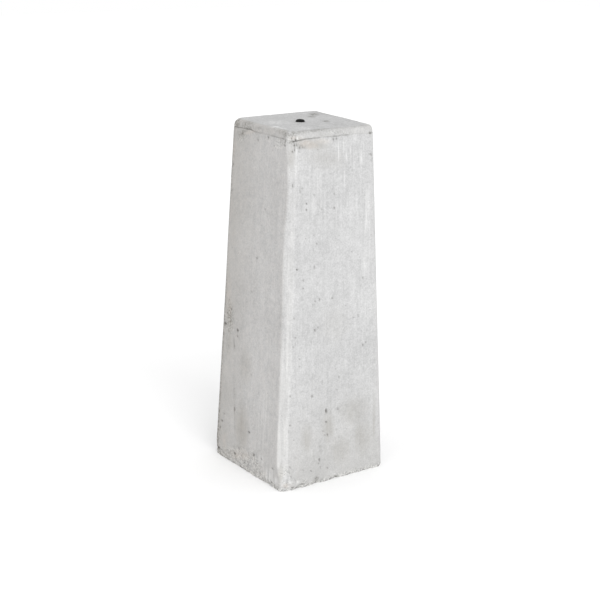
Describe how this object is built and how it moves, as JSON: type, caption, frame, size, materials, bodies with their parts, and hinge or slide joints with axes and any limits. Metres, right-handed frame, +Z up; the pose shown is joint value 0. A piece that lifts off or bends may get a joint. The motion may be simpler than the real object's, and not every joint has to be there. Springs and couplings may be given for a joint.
{
  "type": "column base block",
  "caption": "Tapered precast concrete footing for a timber column: square section, chamfered edges, rounded rim, chipped foot, and a plugged socket in its top.",
  "frame": {"origin": "middle of the underside, on the ground", "axes": "+Z up along the block's height, X and Y square to its sides"},
  "size_m": [0.2216, 0.2216, 0.6037],
  "materials": {
    "concrete": "as-cast grey concrete, matt, with blowholes and weather marks",
    "black_plastic": "moulded black polyethylene, satin"
  },
  "bodies": {
    "root": {"concrete_block": "concrete", "socket_plug": "black_plastic"}
  },
  "joints": []
}
